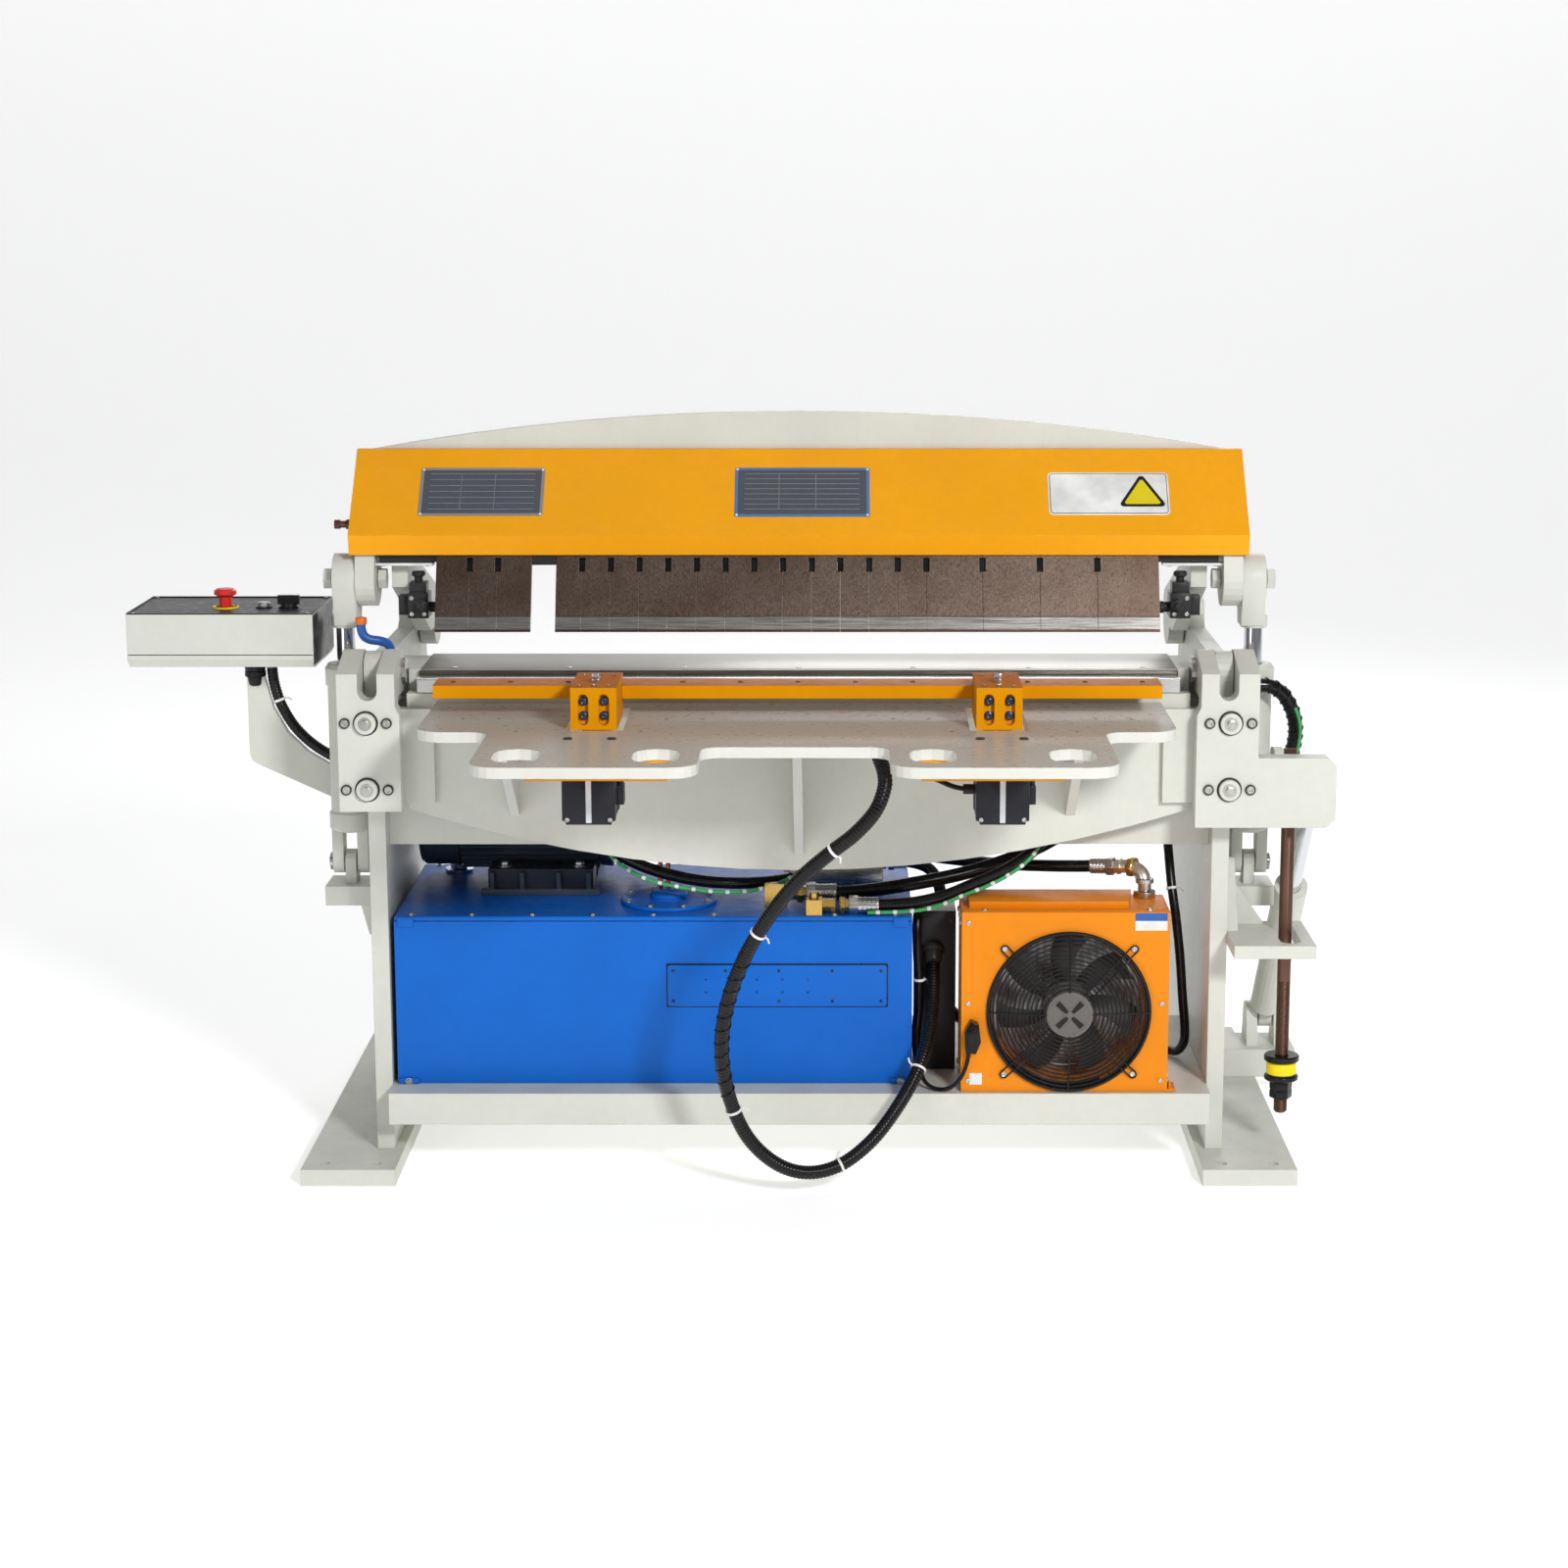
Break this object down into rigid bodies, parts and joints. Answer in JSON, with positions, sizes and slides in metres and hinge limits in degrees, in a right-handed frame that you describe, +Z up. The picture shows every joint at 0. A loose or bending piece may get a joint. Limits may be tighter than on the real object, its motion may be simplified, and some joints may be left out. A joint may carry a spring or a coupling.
{
  "type": "hydraulic folding press",
  "caption": "Floor-standing hydraulic sheet-metal folding press: tilting clamp beam with fingers, swinging bending beam with gauge table, oil tank, cooler and control box.",
  "frame": {"origin": "middle of the overall footprint, on the floor", "axes": "+X along the machine to the operator's right, +Y to the rear, +Z up"},
  "size_m": [2.121, 1.427, 1.322],
  "materials": {
    "grey_paint": "warm light grey enamel, satin",
    "yellow_paint": "safety yellow powder coat",
    "orange_paint": "orange enamel, satin",
    "blue_paint": "blue enamel, satin",
    "slate_paint": "dark slate machine paint",
    "tool_steel": "ground tool steel",
    "chrome": "hard chrome, polished",
    "bright_steel": "bright zinc or ground steel",
    "browned_steel": "browned steel",
    "black_plastic": "black plastic or black coated wire",
    "motor_black": "black-navy coated motor case",
    "black_rubber": "black rubber hose and conduit",
    "red_plastic": "red button plastic",
    "aluminium": "mill finish"
  },
  "bodies": {
    "frame": {"left_foot": "grey_paint", "right_foot": "grey_paint", "left_side_frame": "grey_paint", "right_side_frame": "grey_paint", "base_tray": "grey_paint", "bed_beam": "grey_paint", "bed_blade": "tool_steel", "left_cylinder_anchor": "grey_paint", "right_cylinder_anchor": "grey_paint", "oil_tank": "blue_paint", "tank_lid": "blue_paint", "electric_motor": "slate_paint", "motor_foot": "slate_paint", "hydraulic_pump": "slate_paint", "valve_block": "bright_steel", "cooler_housing": "orange_paint", "cooler_core": "aluminium", "fan_guard": "black_plastic", "stop_bracket": "grey_paint", "bend_cylinder_stand": "grey_paint", "control_arm": "grey_paint", "control_flange": "black_plastic", "main_cable": "black_rubber", "control_cable": "black_rubber", "pressure_hose": "black_rubber", "return_hose": "black_rubber"},
    "clamp_beam": {"clamp_beam": "grey_paint", "top_cover": "yellow_paint", "rear_arch_plate": "grey_paint", "left_fingers": "tool_steel", "right_fingers": "tool_steel", "finger_clamp_bar": "bright_steel", "left_clamp_pin": "bright_steel", "right_clamp_pin": "bright_steel"},
    "left_clamp_barrel": {"left_clamp_barrel": "grey_paint"},
    "right_clamp_barrel": {"right_clamp_barrel": "grey_paint"},
    "left_clamp_rod": {"left_clamp_rod": "chrome"},
    "right_clamp_rod": {"right_clamp_rod": "chrome"},
    "bending_beam": {"bending_beam": "grey_paint", "bending_blade": "bright_steel", "left_hinge_plate": "grey_paint", "right_hinge_plate": "grey_paint", "left_hinge_pin": "bright_steel", "right_hinge_pin": "bright_steel", "support_table": "grey_paint", "left_stepper": "motor_black", "right_stepper": "motor_black"},
    "gauge": {"gauge_rail": "orange_paint", "left_gauge_block": "orange_paint", "right_gauge_block": "orange_paint"},
    "left_lead_screw": {"left_lead_screw": "bright_steel"},
    "right_lead_screw": {"right_lead_screw": "bright_steel"},
    "bend_barrel": {"bend_barrel": "grey_paint"},
    "bend_rod": {"bend_rod": "chrome"},
    "stop_rod": {"stop_rod": "browned_steel"},
    "fan": {"fan_rotor": "black_plastic"},
    "control_box": {"control_box": "grey_paint"},
    "estop": {"estop_button": "red_plastic"},
    "selector": {"selector_knob": "black_plastic"},
    "start_button": {"start_button": "aluminium"}
  },
  "joints": [
    {"name": "clamp_beam_tilt", "type": "hinge", "parent": "frame", "child": "clamp_beam", "pos_m": [0.1155, 0.4335, 0.92], "axis": [1, 0, 0], "range_deg": [-0.5, 7.5]},
    {"name": "left_clamp_barrel_tilt", "type": "hinge", "parent": "frame", "child": "left_clamp_barrel", "pos_m": [-0.6865, 0.0335, 0.527], "axis": [1, 0, 0], "range_deg": [-1, 3]},
    {"name": "right_clamp_barrel_tilt", "type": "hinge", "parent": "frame", "child": "right_clamp_barrel", "pos_m": [0.9175, 0.0335, 0.527], "axis": [1, 0, 0], "range_deg": [-1, 3]},
    {"name": "left_clamp_rod_stroke", "type": "slide", "parent": "left_clamp_barrel", "child": "left_clamp_rod", "axis": [0, 0, 1], "range_m": [-0.06, 0.006]},
    {"name": "right_clamp_rod_stroke", "type": "slide", "parent": "right_clamp_barrel", "child": "right_clamp_rod", "axis": [0, 0, 1], "range_m": [-0.06, 0.006]},
    {"name": "bending_beam_swing", "type": "hinge", "parent": "frame", "child": "bending_beam", "pos_m": [0.1155, -0.0665, 0.888], "axis": [-1, 0, 0], "range_deg": [0, 90]},
    {"name": "gauge_travel", "type": "slide", "parent": "bending_beam", "child": "gauge", "axis": [0, 1, 0], "range_m": [0, 0.056]},
    {"name": "left_screw_turn", "type": "hinge", "parent": "bending_beam", "child": "left_lead_screw", "pos_m": [-0.2175, -0.2665, 0.7507], "axis": [0, 1, 0], "range_deg": [-5, 4040]},
    {"name": "right_screw_turn", "type": "hinge", "parent": "bending_beam", "child": "right_lead_screw", "pos_m": [0.4485, -0.2665, 0.7507], "axis": [0, 1, 0], "range_deg": [-5, 4040]},
    {"name": "bend_barrel_tilt", "type": "hinge", "parent": "frame", "child": "bend_barrel", "pos_m": [1.0075, 0.4135, 0.14], "axis": [1, 0, 0], "range_deg": [-2, 1]},
    {"name": "bend_rod_stroke", "type": "slide", "parent": "bend_barrel", "child": "bend_rod", "axis": [0, -0.691, 0.7228], "range_m": [-0.001, 0.325]},
    {"name": "stop_rod_swing", "type": "hinge", "parent": "bending_beam", "child": "stop_rod", "pos_m": [0.9695, -0.0965, 0.735], "axis": [-1, 0, 0], "range_deg": [-103, 1]},
    {"name": "fan_spin", "type": "hinge", "parent": "frame", "child": "fan", "pos_m": [0.5845, -0.1445, 0.296], "axis": [0, 1, 0], "continuous": true},
    {"name": "control_box_swivel", "type": "hinge", "parent": "frame", "child": "control_box", "pos_m": [-0.8605, 0.0985, 0.885], "axis": [0, 0, 1], "range_deg": [-40, 5]},
    {"name": "estop_press", "type": "slide", "parent": "control_box", "child": "estop", "axis": [0, 0, -1], "range_m": [0, 0.006]},
    {"name": "selector_turn", "type": "hinge", "parent": "control_box", "child": "selector", "pos_m": [-0.7905, 0.0635, 0.98], "axis": [0, 0, 1], "range_deg": [-45, 45]},
    {"name": "start_press", "type": "slide", "parent": "control_box", "child": "start_button", "axis": [0, 0, -1], "range_m": [0, 0.003], "stiffness_N_per_m": 200}
  ],
  "couplings": [
    {"joint": "left_clamp_barrel_tilt", "follows": "clamp_beam_tilt", "ratio": 0.19305},
    {"joint": "right_clamp_barrel_tilt", "follows": "clamp_beam_tilt", "ratio": 0.19305},
    {"joint": "left_clamp_rod_stroke", "follows": "clamp_beam_tilt", "m_per_rad": -0.40596},
    {"joint": "right_clamp_rod_stroke", "follows": "clamp_beam_tilt", "m_per_rad": -0.40596},
    {"joint": "bend_barrel_tilt", "follows": "bending_beam_swing", "ratio": -0.0129},
    {"joint": "bend_rod_stroke", "follows": "bending_beam_swing", "m_per_rad": 0.20306},
    {"joint": "stop_rod_swing", "follows": "bending_beam_swing", "ratio": -1.12},
    {"joint": "left_screw_turn", "follows": "gauge_travel", "rad_per_m": 1256.6},
    {"joint": "right_screw_turn", "follows": "gauge_travel", "rad_per_m": 1256.6}
  ]
}
